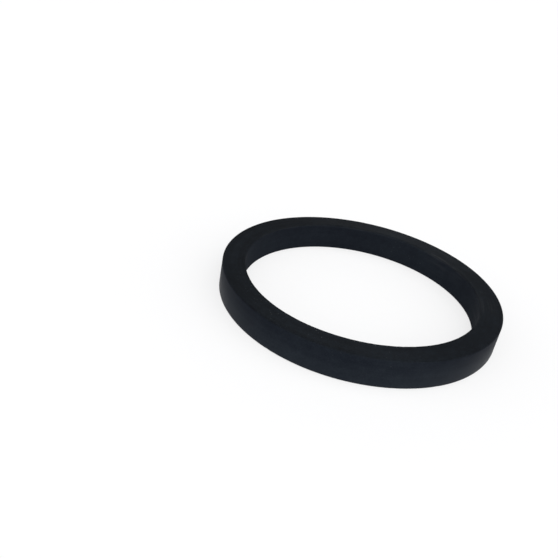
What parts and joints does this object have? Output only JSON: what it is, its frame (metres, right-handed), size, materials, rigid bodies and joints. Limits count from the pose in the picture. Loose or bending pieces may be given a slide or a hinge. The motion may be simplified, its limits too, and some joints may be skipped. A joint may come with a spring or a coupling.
{
  "type": "pump seal ring",
  "caption": "Flat black rubber ring seal of nearly square section with rounded edges, for the joint face of a pump.",
  "frame": {"origin": "centre of the ring on the plane of its lower face, which is the surface that it lies on", "axes": "+Z along the ring's axis, from the lower flat face to the upper one; X and Y lie in the lower face, and the ring is the same all the way round"},
  "size_m": [0.074, 0.074, 0.0075],
  "materials": {
    "rubber": "satin black, smooth moulded skin"
  },
  "bodies": {
    "root": {"seal_ring": "rubber"}
  },
  "joints": []
}
